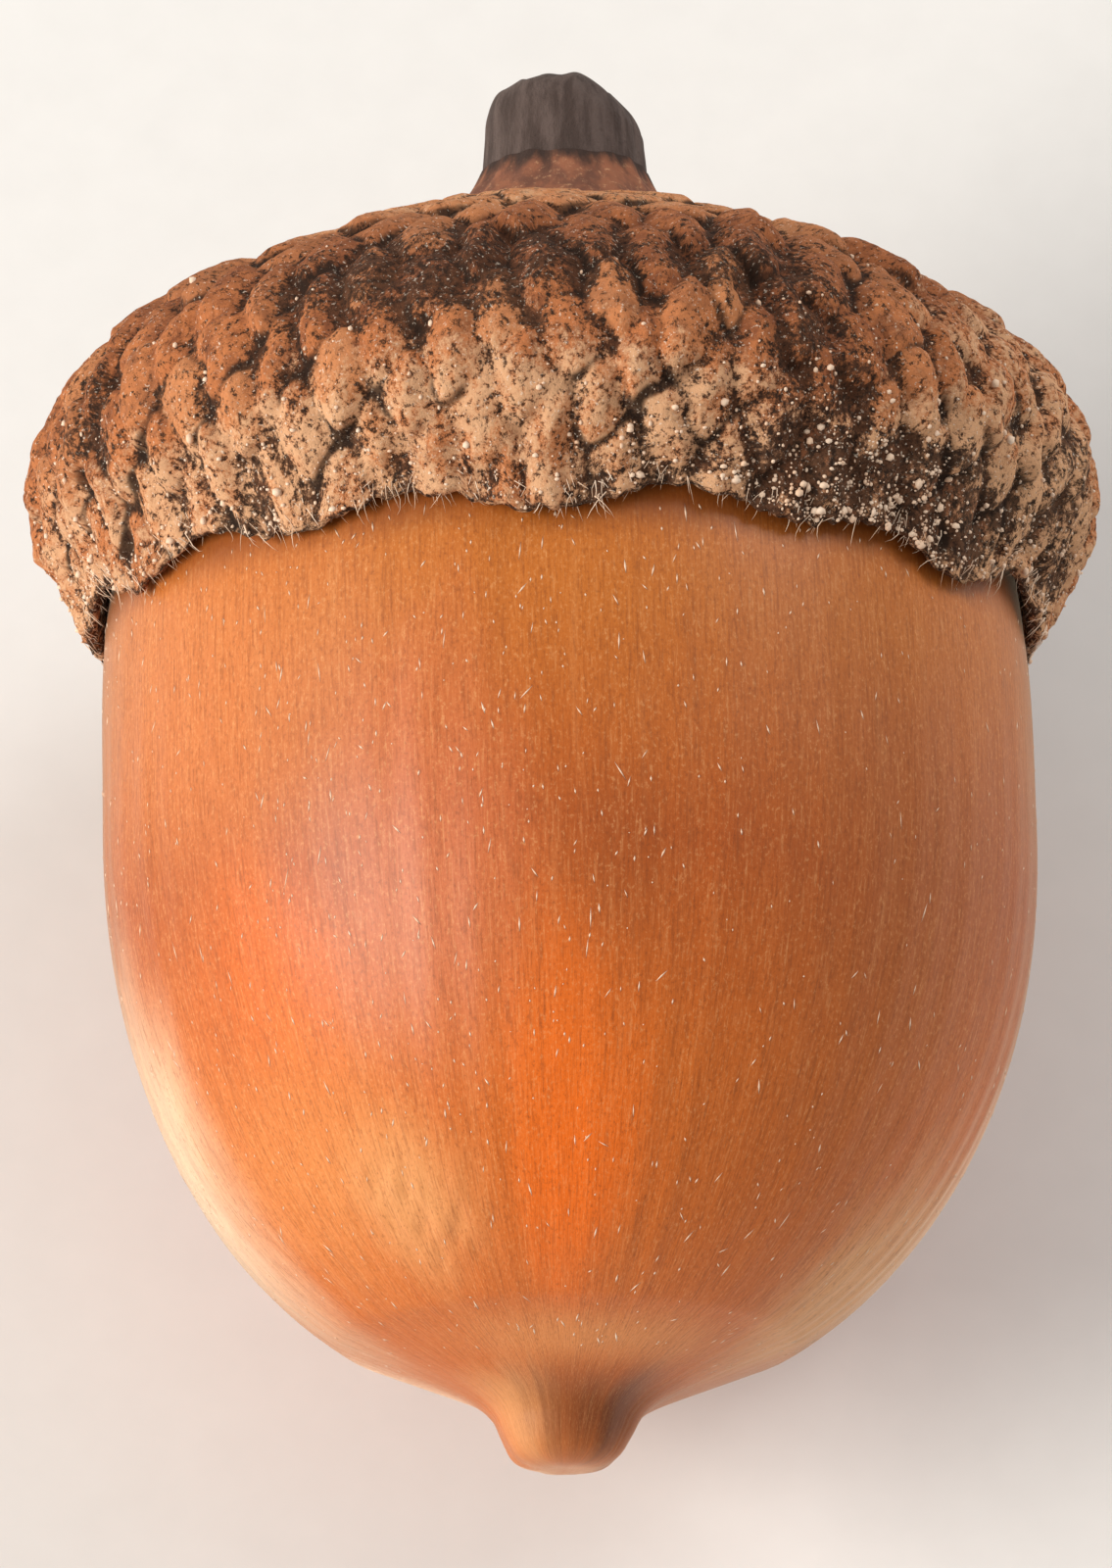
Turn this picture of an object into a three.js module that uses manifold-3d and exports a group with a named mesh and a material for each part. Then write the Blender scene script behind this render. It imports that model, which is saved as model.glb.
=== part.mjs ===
// An acorn lying on a level surface: a smooth nut, a cap covered with overlapping scales, and a stalk's stub.
// Millimetres, +Z up. Each piece is drawn round an upright axis, with heights measured from the nut's tip.
// The group then lays the acorn on its side, on the nut's flank and the cap's bulge, the stalk towards +Y.
import * as THREE from "three";
import { ConvexHull } from "three/addons/math/ConvexHull.js";
import { mergeVertices } from "three/addons/utils/BufferGeometryUtils.js";
import Module from "manifold-3d";

const wasm = await Module();
wasm.setup();

// Nut: two superellipses that meet at the widest ring, with a blunt nub at the tip.
const NUT_RADIUS = 9;
const NUT_WIDEST = 12.5;
const NUT_SHOULDER = 1.2;
const NUT_BASE = 22.3;
const NUT_TAPER = 2.13;
const NUT_BLUNTNESS = 3.4;
const NUT_SCAR_ANGLE = 1.42;
const NUT_SIDEWAYS_BELLY = 0.17;
const NUB = [[0, 0], [0.6, 0.02], [1, 0.22], [1.24, 0.62], [1.46, 1.02], [1.95, 1.38], [3.2, 1.92]];
const NUB_JOIN = 2.4;

// Cap: the dome under the scales down to the rim, and the neck that carries the stalk.
const CAP_TOP = 25.9;
const CAP_RIM = 16.45;
const CAP_WIDEST = 19.5;
const CAP_CORE_RADIUS = 10.26;
const CAP_MERIDIAN = [
  [0, 24.6], [1.8, 24.52], [3.6, 24.2], [5.4, 23.55], [7.2, 22.75], [8.6, 21.9], [9.7, 20.8],
  [CAP_CORE_RADIUS, CAP_WIDEST], [10.15, 18.4], [9.72, 17.5], [9.4, 16.85], [9.3, CAP_RIM],
];
const NECK = [[0, 23.8], [3.4, 23.8], [3, 24.36], [2.25, 24.8], [1.74, 25.4], [1.62, CAP_TOP], [0, CAP_TOP]];
const SEAT_GAP = 0.25;

// Scales: a golden-angle spiral from the neck to the rim, with smaller scales towards the rim.
const GOLDEN_ANGLE = Math.PI * (3 - Math.sqrt(5));
const SPIRAL_PHASE = 0.9;
const FIRST_SCALE = 0.15;
const LAST_SCALE = 0.985;
const SCALE_WIDTH_AT_NECK = 2.1;
const SCALE_WIDTH_AT_RIM = 1.1;
const SCALE_HEIGHT_PER_WIDTH = 0.25;
const SCALE_HALF_LENGTH_PER_WIDTH = 0.6;

// Brow: the ring of points round the crown of a scale, as shares of the way out and of the crown's height.
const BROW_REACH = 0.68;
const BROW_REACH_TO_TIP = 0.16;
const BROW_HEIGHT = 0.62;
const BROW_LIFT_TO_TIP = 0.33;

// Stalk: a short stub, snapped off on a slant that starts a little to one side of its axis.
const STALK_RADIUS = 1.56;
const STALK_TOP = 27.7;
const STALK_GAP = 0.25;
const STALK_FOOT = CAP_TOP + STALK_GAP;
const STALK = [
  [0, STALK_FOOT], [1.6, STALK_FOOT], [STALK_RADIUS, 26.6], [1.52, 27.1], [1.36, 27.5],
  [1.05, STALK_TOP], [0, STALK_TOP],
];
const SNAP_DROP = 0.6;
const SNAP_START = 0.2;

// Rest: the two rings that touch the ground, and how deep each is worn flat.
const NUT_REST = 9.5;
const CAP_REST = 19.3;
const CAP_REST_RADIUS = 10.56;
const REST_FLAT = 0.11;

// Fineness: sides of each turned piece, steps along the nut, and steps of the map from the cap to a sphere.
const ROUND = 48;
const NUB_STEPS = 12;
const FLANK_STEPS = 12;
const HELD_STEPS = 11;
const MAP_STEPS = 2000;
const MAP_EQUATOR = 0.45;
const GROUND_BLOCK = 80;
const WELD = 1e-4;

const COLOURS = {
  nut: { color: 0xb9692f, roughness: 0.42, metalness: 0 },
  cap: { color: 0x8a5636, roughness: 0.85, metalness: 0 },
  stalk: { color: 0x5a473b, roughness: 0.9, metalness: 0 },
};

const { clamp, lerp, smoothstep } = THREE.MathUtils;
const vector = ([x, y]) => new THREE.Vector2(x, y);

// A solid of revolution about +Z. The profile is a list of points whose x is the radius and y the height.
function turned(profile) {
  return new THREE.LatheGeometry(profile, ROUND).rotateX(Math.PI / 2);
}

function solidFrom(geometry) {
  const bare = new THREE.BufferGeometry();
  bare.setAttribute("position", geometry.getAttribute("position"));
  bare.setIndex(geometry.index);
  const merged = mergeVertices(bare, WELD);
  return new wasm.Manifold(
    new wasm.Mesh({
      numProp: 3,
      vertProperties: merged.getAttribute("position").array,
      triVerts: new Uint32Array(merged.index.array),
    }),
  );
}

function geometryFrom(solid) {
  const { vertProperties, triVerts } = solid.getMesh();
  const geometry = new THREE.BufferGeometry();
  geometry.setAttribute("position", new THREE.BufferAttribute(vertProperties, 3));
  geometry.setIndex(new THREE.BufferAttribute(triVerts, 1));
  geometry.computeVertexNormals();
  return geometry;
}

// Part of a superellipse about the nut's widest ring, between two angles: the ring is at 0, the pole at 90.
function superellipse(radius, pole, power, from, to, steps) {
  return Array.from({ length: steps + 1 }, (_, i) => {
    const angle = lerp(from, to, i / steps);
    const height = NUT_WIDEST + (pole - NUT_WIDEST) * Math.sin(angle) ** (2 / power);
    return new THREE.Vector2(radius * Math.cos(angle) ** (2 / power), height);
  });
}

// The half of the nut that the cap holds, or with a margin the hollow that it sits in, closed on the axis.
function heldProfile(margin) {
  const pole = NUT_BASE + margin;
  const held = superellipse(NUT_RADIUS + margin, pole, NUT_BLUNTNESS, 0, NUT_SCAR_ANGLE, HELD_STEPS);
  return [...held, new THREE.Vector2(0, held.at(-1).y)];
}

function nutProfile() {
  const joinShare = (NUT_WIDEST - NUB_JOIN) / (NUT_WIDEST - NUT_SHOULDER);
  const joinAngle = Math.asin(joinShare ** (NUT_TAPER / 2));
  const nub = new THREE.SplineCurve(NUB.map(vector)).getPoints(NUB_STEPS);
  const flank = superellipse(NUT_RADIUS, NUT_SHOULDER, NUT_TAPER, joinAngle, 0, FLANK_STEPS);
  return [...nub, ...flank, ...heldProfile(0).slice(1)];
}

function nutRadius(height) {
  const [pole, power] = height < NUT_WIDEST ? [NUT_SHOULDER, NUT_TAPER] : [NUT_BASE, NUT_BLUNTNESS];
  const share = (height - NUT_WIDEST) / (pole - NUT_WIDEST);
  return NUT_RADIUS * (1 - share ** power) ** (1 / power);
}

// The nut is not quite round: below the cap its belly stands a little to one side.
function nutSolid() {
  const geometry = turned(nutProfile());
  const places = geometry.getAttribute("position");
  for (let i = 0; i < places.count; i++) {
    const along = clamp(places.getZ(i) / CAP_RIM, 0, 1);
    places.setX(i, places.getX(i) + NUT_SIDEWAYS_BELLY * Math.sin(Math.PI * along));
  }
  return solidFrom(geometry);
}

// The outline that the scales stand on: the dome from its top to the rim, then level across to the axis.
const dome = new THREE.SplineCurve(CAP_MERIDIAN.map(vector));
const rimDisc = new THREE.LineCurve(vector(CAP_MERIDIAN.at(-1)), new THREE.Vector2(0, CAP_RIM));
const meridian = new THREE.CurvePath();
meridian.add(dome);
meridian.add(rimDisc);
const DOME_SHARE = dome.getLength() / meridian.getLength();

// A point of the cap, a height above the outline. Share runs along the outline and angle round the axis.
function capPoint({ share, angle }, height) {
  const place = meridian.getPointAt(share);
  const slope = meridian.getTangentAt(share);
  const radius = place.x - slope.y * height;
  return new THREE.Vector3(radius * Math.cos(angle), radius * Math.sin(angle), place.y + slope.x * height);
}

// The middle of each scale, in order along the spiral. The two poles have no scale.
function scaleSites() {
  const sites = [{ share: 0, angle: 0, width: 0 }];
  let along = FIRST_SCALE;
  while (along < LAST_SCALE) {
    const share = along * DOME_SHARE;
    const width = lerp(SCALE_WIDTH_AT_NECK, SCALE_WIDTH_AT_RIM, along);
    const ring = 2 * Math.PI * meridian.getPointAt(share).x;
    sites.push({ share, width, angle: SPIRAL_PHASE + sites.length * GOLDEN_ANGLE });
    along += (width * width) / (ring * dome.getLength());
  }
  return [...sites, { share: 1, angle: 0, width: 0 }];
}

// Where each site falls on a sphere, when the cap is mapped to it without shearing any small figure.
// The hull of those points is then the best triangulation of the sites on the cap itself.
function sitesOnSphere(sites) {
  const stretch = [0];
  for (let i = 1; i < MAP_STEPS; i++) {
    const radius = meridian.getPointAt((i - 0.5) / MAP_STEPS).x;
    stretch.push(stretch[i - 1] + meridian.getLength() / MAP_STEPS / radius);
  }
  const equator = stretch[Math.round(MAP_STEPS * MAP_EQUATOR)];
  return sites.map(({ share, angle }) => {
    const step = Math.round(share * MAP_STEPS);
    const polar = step % MAP_STEPS ? 2 * Math.atan(Math.exp(stretch[step] - equator)) : Math.PI * share;
    return new THREE.Vector3().setFromSphericalCoords(1, polar, angle);
  });
}

function trianglesBetween(points) {
  const numbers = new Map(points.map((p, i) => [p, i]));
  return new ConvexHull().setFromPoints(points).faces.map(({ edge }) =>
    [edge, edge.next, edge.prev].map((e) => numbers.get(e.head().point)),
  );
}

// The low place where three scales meet.
function crevice(sites) {
  const share = (sites[0].share + sites[1].share + sites[2].share) / 3;
  const scales = sites.filter((site) => site.width);
  const east = scales.reduce((sum, { angle }) => sum + Math.cos(angle), 0);
  const north = scales.reduce((sum, { angle }) => sum + Math.sin(angle), 0);
  return { share, angle: Math.atan2(north, east) };
}

// A point of a scale's brow, between its middle and a crevice. At the tip, by the rim, it is high and steep.
function brow(site, low) {
  const turn = Math.atan2(Math.sin(low.angle - site.angle), Math.cos(low.angle - site.angle));
  const halfLength = site.width * SCALE_HALF_LENGTH_PER_WIDTH || 1;
  const towardsTip = clamp(((low.share - site.share) * meridian.getLength()) / halfLength, -1, 1);
  const reach = BROW_REACH + BROW_REACH_TO_TIP * towardsTip;
  const place = { share: lerp(site.share, low.share, reach), angle: site.angle + turn * reach };
  return capPoint(place, site.width * SCALE_HEIGHT_PER_WIDTH * (BROW_HEIGHT + BROW_LIFT_TO_TIP * towardsTip));
}

// The domed outside of the cap, closed across the rim, with every scale raised from it.
function scalySolid() {
  const sites = scaleSites();
  const triangles = trianglesBetween(sitesOnSphere(sites));
  const lows = triangles.map((corners) => crevice(corners.map((c) => sites[c])));
  const besides = new Map(triangles.flatMap((t, i) => t.map((c, k) => [`${c} ${t[(k + 1) % 3]}`, i])));
  const corners = [];
  for (const [edge, left] of besides) {
    const [from, to] = edge.split(" ");
    const right = besides.get(`${to} ${from}`);
    const site = sites[from];
    const top = capPoint(site, site.width * SCALE_HEIGHT_PER_WIDTH);
    const [lowLeft, lowRight] = [lows[left], lows[right]];
    const [browLeft, browRight] = [brow(site, lowLeft), brow(site, lowRight)];
    const [endLeft, endRight] = [capPoint(lowLeft, 0), capPoint(lowRight, 0)];
    corners.push(top, browRight, browLeft, browRight, endRight, endLeft, browRight, endLeft, browLeft);
  }
  return solidFrom(new THREE.BufferGeometry().setFromPoints(corners));
}

function capSolid() {
  const neck = solidFrom(turned(NECK.map(vector)));
  const hollow = solidFrom(turned([new THREE.Vector2(0, NUT_WIDEST), ...heldProfile(SEAT_GAP)]));
  return scalySolid().add(neck).subtract(hollow);
}

function stalkSolid() {
  const geometry = turned(STALK.map(vector));
  const places = geometry.getAttribute("position");
  for (let i = 0; i < places.count; i++) {
    const upper = smoothstep(places.getZ(i), STALK_FOOT, STALK_TOP);
    const side = smoothstep(places.getX(i), SNAP_START, STALK_RADIUS);
    places.setZ(i, places.getZ(i) - SNAP_DROP * upper * side);
  }
  return solidFrom(geometry);
}

// How the acorn lies: the line through its two resting rings becomes level.
const restLean = Math.atan2(CAP_REST_RADIUS - nutRadius(NUT_REST), CAP_REST - NUT_REST);
const layDown = new THREE.Matrix4().makeRotationX(restLean - Math.PI / 2);
const touching = new THREE.Vector3(0, nutRadius(NUT_REST) - REST_FLAT, NUT_REST).applyMatrix4(layDown);
layDown.premultiply(new THREE.Matrix4().makeTranslation(0, 0, -touching.z));

// Everything below the ground, in the acorn's own upright frame.
function groundSolid() {
  const block = new THREE.BoxGeometry(GROUND_BLOCK, GROUND_BLOCK, GROUND_BLOCK);
  block.translate(0, 0, -GROUND_BLOCK / 2);
  return solidFrom(block.applyMatrix4(layDown.clone().invert()));
}

function piece(name, solid) {
  const mesh = new THREE.Mesh(geometryFrom(solid), new THREE.MeshStandardMaterial(COLOURS[name]));
  mesh.name = name;
  return mesh;
}

const ground = groundSolid();
const upright = new THREE.Group();
upright.add(piece("nut", nutSolid().subtract(ground)));
upright.add(piece("cap", capSolid().subtract(ground)));
upright.add(piece("stalk", stalkSolid()));
layDown.decompose(upright.position, upright.quaternion, upright.scale);

// The origin is on the ground, under the middle of the acorn's box.
const acorn = new THREE.Group();
acorn.add(upright);
const middle = new THREE.Box3().setFromObject(acorn, true).getCenter(new THREE.Vector3());
upright.position.sub(new THREE.Vector3(middle.x, middle.y, 0));

export default acorn;
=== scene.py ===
"""The looks of an acorn that lies on a pale floor: a satin nut, a scaly cap and a stub of stalk.

Lengths are millimetres in the acorn's own upright frame: its axis is +Z, heights start at the nut's tip,
and -Y is the side that faces the camera. laid_down() takes that frame to the row's frame, in metres.
"""

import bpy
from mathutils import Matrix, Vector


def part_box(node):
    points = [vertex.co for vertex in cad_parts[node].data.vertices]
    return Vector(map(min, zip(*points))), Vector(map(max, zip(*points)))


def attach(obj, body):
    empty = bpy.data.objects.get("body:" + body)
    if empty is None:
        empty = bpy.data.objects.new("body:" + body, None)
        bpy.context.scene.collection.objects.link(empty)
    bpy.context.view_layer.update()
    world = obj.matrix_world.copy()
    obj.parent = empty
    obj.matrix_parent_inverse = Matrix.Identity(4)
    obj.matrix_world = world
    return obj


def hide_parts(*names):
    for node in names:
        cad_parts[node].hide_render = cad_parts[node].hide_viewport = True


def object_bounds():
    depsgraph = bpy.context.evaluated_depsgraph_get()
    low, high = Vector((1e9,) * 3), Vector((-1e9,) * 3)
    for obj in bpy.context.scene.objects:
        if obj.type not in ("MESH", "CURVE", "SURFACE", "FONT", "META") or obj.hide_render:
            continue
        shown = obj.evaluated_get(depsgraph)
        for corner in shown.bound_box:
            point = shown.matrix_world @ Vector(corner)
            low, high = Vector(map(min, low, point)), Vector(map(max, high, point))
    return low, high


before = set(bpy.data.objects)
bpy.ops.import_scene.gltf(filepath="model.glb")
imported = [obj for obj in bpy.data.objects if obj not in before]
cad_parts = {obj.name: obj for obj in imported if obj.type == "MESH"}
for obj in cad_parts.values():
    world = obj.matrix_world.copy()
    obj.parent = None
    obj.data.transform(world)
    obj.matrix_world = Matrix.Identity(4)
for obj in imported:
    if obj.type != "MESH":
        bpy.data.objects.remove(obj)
CAD_BOX = [list(corner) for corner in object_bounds()]

import math

import bpy
import numpy as np
from mathutils import Vector, noise

MM = 0.001
SEED = 20

# Nut: two superellipses that meet at the widest ring, with a blunt nub at the tip
NUT_RADIUS = 9.0
NUT_WIDEST = 12.5
NUT_SHOULDER = 1.2
NUT_BASE = 22.3
NUT_TAPER = 2.13
NUT_BLUNTNESS = 3.4
NUT_SCAR_ANGLE = 1.42
NUT_SIDEWAYS_BELLY = 0.17
NUB = [(0, 0), (0.6, 0.02), (1, 0.22), (1.24, 0.62), (1.46, 1.02), (1.95, 1.38), (3.2, 1.92)]
NUB_JOIN = 2.4

# Cap: the dome under the scales down to the rim, and the neck that carries the stalk
CAP_TOP = 25.9
CAP_RIM = 16.45
CAP_WIDEST = 19.5
CAP_CORE_RADIUS = 10.26
CAP_MERIDIAN = [
    (0, 24.6), (1.8, 24.52), (3.6, 24.2), (5.4, 23.55), (7.2, 22.75), (8.6, 21.9), (9.7, 20.8),
    (CAP_CORE_RADIUS, CAP_WIDEST), (10.15, 18.4), (9.72, 17.5), (9.4, 16.85), (9.3, CAP_RIM),
]
NECK = [(3.0, 24.36), (2.4, 24.8), (1.9, 25.4), (1.65, CAP_TOP)]

# Scales: a golden-angle spiral from the neck to the rim, with smaller scales towards the rim
GOLDEN_ANGLE = math.pi * (3 - math.sqrt(5))
SPIRAL_PHASE = 0.9
FIRST_SCALE = 0.15
LAST_SCALE = 0.985
SCALE_WIDTH_AT_NECK = 2.1
SCALE_WIDTH_AT_RIM = 1.1

# Stalk: a short stub, snapped off on a slant
STALK_RADIUS = 1.56
STALK_TOP = 27.7
STALK = [(1.62, CAP_TOP - 0.1), (STALK_RADIUS, 26.6), (1.52, 27.1), (1.36, 27.5), (1.05, STALK_TOP)]
SNAP_DROP = 0.6
SNAP_START = 0.2

# Rest: the two rings that touch the ground, and how deep each is worn flat
NUT_REST = 9.5
CAP_REST = 19.3
CAP_REST_RADIUS = 10.56
REST_FLAT = 0.11

# Camera: it looks down at the acorn's axis, tipped towards the nub
CAMERA_TIP = math.radians(16)
CAMERA_AIM = (-0.16, 0, 13.5)
CAMERA_DISTANCE = 200
VIEW_HEIGHT = 30.25
SENSOR_HEIGHT = 24


# Curves and outlines

def spline(knots, steps):
    """A uniform Catmull-Rom curve through the knots, as an array of points."""
    knots = np.array(knots, float)
    padded = np.vstack([knots[:1], knots, knots[-1:]])
    at = np.linspace(0, len(knots) - 1, steps)
    span = np.minimum(at.astype(int), len(knots) - 2)
    t = (at - span)[:, None]
    start, end = padded[span + 1], padded[span + 2]
    leave, arrive = (end - padded[span]) / 2, (padded[span + 3] - start) / 2
    cubic = (2 * start - 2 * end + leave + arrive) * t + (3 * end - 3 * start - 2 * leave - arrive)
    return (cubic * t + leave) * t + start


def superellipse(pole, power, begin, end, steps):
    angle = np.linspace(begin, end, steps)
    radius = NUT_RADIUS * np.cos(angle) ** (2 / power)
    return np.column_stack([radius, NUT_WIDEST + (pole - NUT_WIDEST) * np.sin(angle) ** (2 / power)])


def nut_radius(height):
    pole, power = (NUT_SHOULDER, NUT_TAPER) if height < NUT_WIDEST else (NUT_BASE, NUT_BLUNTNESS)
    share = (height - NUT_WIDEST) / (pole - NUT_WIDEST)
    return NUT_RADIUS * (1 - share**power) ** (1 / power)


def nut_outline():
    join_share = (NUT_WIDEST - NUB_JOIN) / (NUT_WIDEST - NUT_SHOULDER)
    join_angle = math.asin(join_share ** (NUT_TAPER / 2))
    flank = superellipse(NUT_SHOULDER, NUT_TAPER, join_angle, 0, 400)
    held = superellipse(NUT_BASE, NUT_BLUNTNESS, 0, NUT_SCAR_ANGLE, 300)
    return np.vstack([spline(NUB, 200), flank, held[1:]])


class Outline:
    """A curve of (radius, height) points, read by the distance along it."""

    def __init__(self, points):
        steps = np.hypot(*np.diff(points, axis=0).T)
        self.points = points
        self.at = np.concatenate([[0], np.cumsum(steps)])
        self.length = self.at[-1]
        slope = np.gradient(points, self.at, axis=0)
        self.slope = slope / np.linalg.norm(slope, axis=1, keepdims=True)

    def point(self, along):
        return np.stack([np.interp(along, self.at, self.points[:, k]) for k in (0, 1)], -1)

    def tangent(self, along):
        return np.stack([np.interp(along, self.at, self.slope[:, k]) for k in (0, 1)], -1)

    def where(self, height):
        """The distance along a rising outline at which it reaches a height."""
        return np.interp(height, self.points[:, 1], self.at)


def smooth(low, high, value):
    share = np.clip((value - low) / (high - low), 0, 1)
    return share * share * (3 - 2 * share)


def ripples(rng, angle, along, around, per_mm, count=12):
    """Smooth seamless noise of about unit size: waves round the axis and along it."""
    total = 0
    for _ in range(count):
        turns = rng.integers(around[0], around[1] + 1)
        slope = rng.uniform(-per_mm, per_mm)
        phase = rng.uniform(0, 2 * math.pi)
        total = total + np.sin(turns * angle + slope * along + phase)
    return total * math.sqrt(2 / count)


# Placing

LEAN = math.atan2(CAP_REST_RADIUS - nut_radius(NUT_REST), CAP_REST - NUT_REST)
GROUND = NUT_REST * math.sin(LEAN) - (nut_radius(NUT_REST) - REST_FLAT) * math.cos(LEAN)
NUT_OUTLINE = Outline(nut_outline())
NUB_END = (NUT_OUTLINE.points[:, 1] * math.cos(LEAN) - NUT_OUTLINE.points[:, 0] * math.sin(LEAN)).min()
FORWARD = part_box("nut")[0][1] / MM - NUB_END


def turned(vectors):
    """Upright directions to the directions that they have once the acorn lies down."""
    x, y, z = np.asarray(vectors, float).T
    forward = y * math.sin(LEAN) + z * math.cos(LEAN)
    up = z * math.sin(LEAN) - y * math.cos(LEAN)
    return np.column_stack([x, forward, up])


def laid_down(points):
    """Upright millimetres to metres in the row's frame."""
    return (turned(points) + [0, FORWARD, -GROUND]) * MM


def around_axis(radius, angle, height):
    return np.stack([radius * np.cos(angle), radius * np.sin(angle), height + 0 * angle], -1)


# Meshes

def ring_faces(rows, columns, first=0):
    """Quads of a closed band of rings, seen from outside when the rings climb."""
    row = np.arange(rows - 1)[:, None] * columns + first
    here = np.arange(columns)[None, :]
    beside = (here + 1) % columns
    corners = [row + here, row + beside, row + columns + beside, row + columns + here]
    return np.stack(corners, -1).reshape(-1, 4).tolist()


def fan_faces(columns, first, pole, upper):
    here = np.arange(columns)
    beside = (here + 1) % columns
    order = [here + first, beside + first] if upper else [beside + first, here + first]
    return np.stack([*order, np.full(columns, pole)], -1).tolist()


def lathe(rings, low_pole, high_pole):
    """Points and faces of a closed skin of rings between two poles on the axis."""
    rows, columns = rings.shape[:2]
    points = np.vstack([rings.reshape(-1, 3), [[0, 0, low_pole], [0, 0, high_pole]]])
    faces = ring_faces(rows, columns)
    faces += fan_faces(columns, 0, rows * columns, upper=False)
    faces += fan_faces(columns, (rows - 1) * columns, rows * columns + 1, upper=True)
    return points, faces


def make_piece(name, points, faces, material, node, slot, normals=None, **vectors):
    mesh = bpy.data.meshes.new(name)
    mesh.from_pydata(np.clip(laid_down(points), *CAD_BOX).tolist(), [], faces)
    for key, values in vectors.items():
        attribute = mesh.attributes.new(key, "FLOAT_VECTOR", "POINT")
        attribute.data.foreach_set("vector", np.asarray(values, np.float32).ravel())
    mesh.shade_smooth()
    if normals is not None:
        mesh.normals_split_custom_set_from_vertices(turned(normals).tolist())
    mesh.materials.append(material)
    piece = bpy.data.objects.new(name, mesh)
    bpy.context.collection.objects.link(piece)
    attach(piece, "root")
    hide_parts(node)


# Materials

class Graph:
    """A material's node tree, with a short way to add a node and link its inputs."""

    def __init__(self, name):
        self.material = bpy.data.materials.new(name)
        self.material.use_nodes = True
        self.tree = self.material.node_tree
        self.shader = self.tree.nodes["Principled BSDF"]

    def put(self, socket, value):
        if isinstance(value, bpy.types.NodeSocket):
            self.tree.links.new(value, socket)
        elif hasattr(value, "__len__") and len(value) == 3 and socket.type == "RGBA":
            socket.default_value = (*value, 1)
        else:
            socket.default_value = value

    def add(self, kind, inputs, output=0, **settings):
        node = self.tree.nodes.new("ShaderNode" + kind)
        for key, value in settings.items():
            setattr(node, key, value)
        for key, value in inputs.items():
            self.put(node.inputs[key], value)
        return node.outputs[output]

    def vector(self, name):
        return self.add("Attribute", {}, output="Vector", attribute_name=name)

    def parts(self, vector):
        node = self.tree.nodes.new("ShaderNodeSeparateXYZ")
        self.put(node.inputs[0], vector)
        return node.outputs

    def math(self, operation, a, b=0.0):
        return self.add("Math", {0: a, 1: b}, operation=operation)

    def stretch(self, vector, *factors):
        return self.add("VectorMath", {0: vector, 1: factors}, operation="MULTIPLY")

    def noise(self, vector, detail=3.0, rough=0.55, twist=0.0):
        inputs = {"Vector": vector, "Scale": 1.0, "Detail": detail, "Roughness": rough, "Distortion": twist}
        return self.add("TexNoise", inputs)

    def step(self, value, low, high, bottom=0.0, top=1.0):
        inputs = {"Value": value, 1: low, 2: high, 3: bottom, 4: top}
        return self.add("MapRange", inputs, interpolation_type="SMOOTHSTEP")

    def mix(self, factor, a, b, blend="MIX"):
        inputs = {0: factor, 6: a, 7: b}
        return self.add("Mix", inputs, output=2, data_type="RGBA", blend_type=blend, clamp_factor=True)

    def ramp(self, value, *stops):
        node = self.tree.nodes.new("ShaderNodeValToRGB")
        self.put(node.inputs[0], value)
        elements = node.color_ramp.elements
        while len(elements) < len(stops):
            elements.new(1.0)
        for element, (position, colour) in zip(elements, stops):
            element.position = position
            element.color = (*colour, 1)
        return node.outputs[0]

    def bump(self, height, strength, distance):
        inputs = {"Strength": strength, "Distance": distance, "Height": height}
        self.put(self.shader.inputs["Normal"], self.add("Bump", inputs))

    def finish(self, colour, roughness, specular=0.5):
        self.put(self.shader.inputs["Base Color"], colour)
        self.put(self.shader.inputs["Roughness"], roughness)
        self.put(self.shader.inputs["Specular IOR Level"], specular)
        return self.material


HONEY = (0.50, 0.14, 0.016)
RUSSET = (0.42, 0.085, 0.009)
ORANGE = (0.88, 0.15, 0.002)
AMBER = (0.58, 0.13, 0.012)
SALMON = (0.62, 0.185, 0.05)
ROSE = (0.58, 0.15, 0.05)
UMBER = (0.20, 0.046, 0.007)
STRAW = (0.78, 0.40, 0.16)
IVORY = (0.90, 0.66, 0.44)
CLOVE = (0.36, 0.105, 0.024)
APRICOT = (0.72, 0.25, 0.06)
PEACH = (0.74, 0.28, 0.08)
NUT_COAT = 0.3
NUT_COAT_ROUGHNESS = 0.32
NUT_SHEEN = 0.8
NUT_SHEEN_ROUGHNESS = 0.2
NUT_SHEEN_TINT = (1.0, 0.82, 0.6)
FRONT = -90
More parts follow.
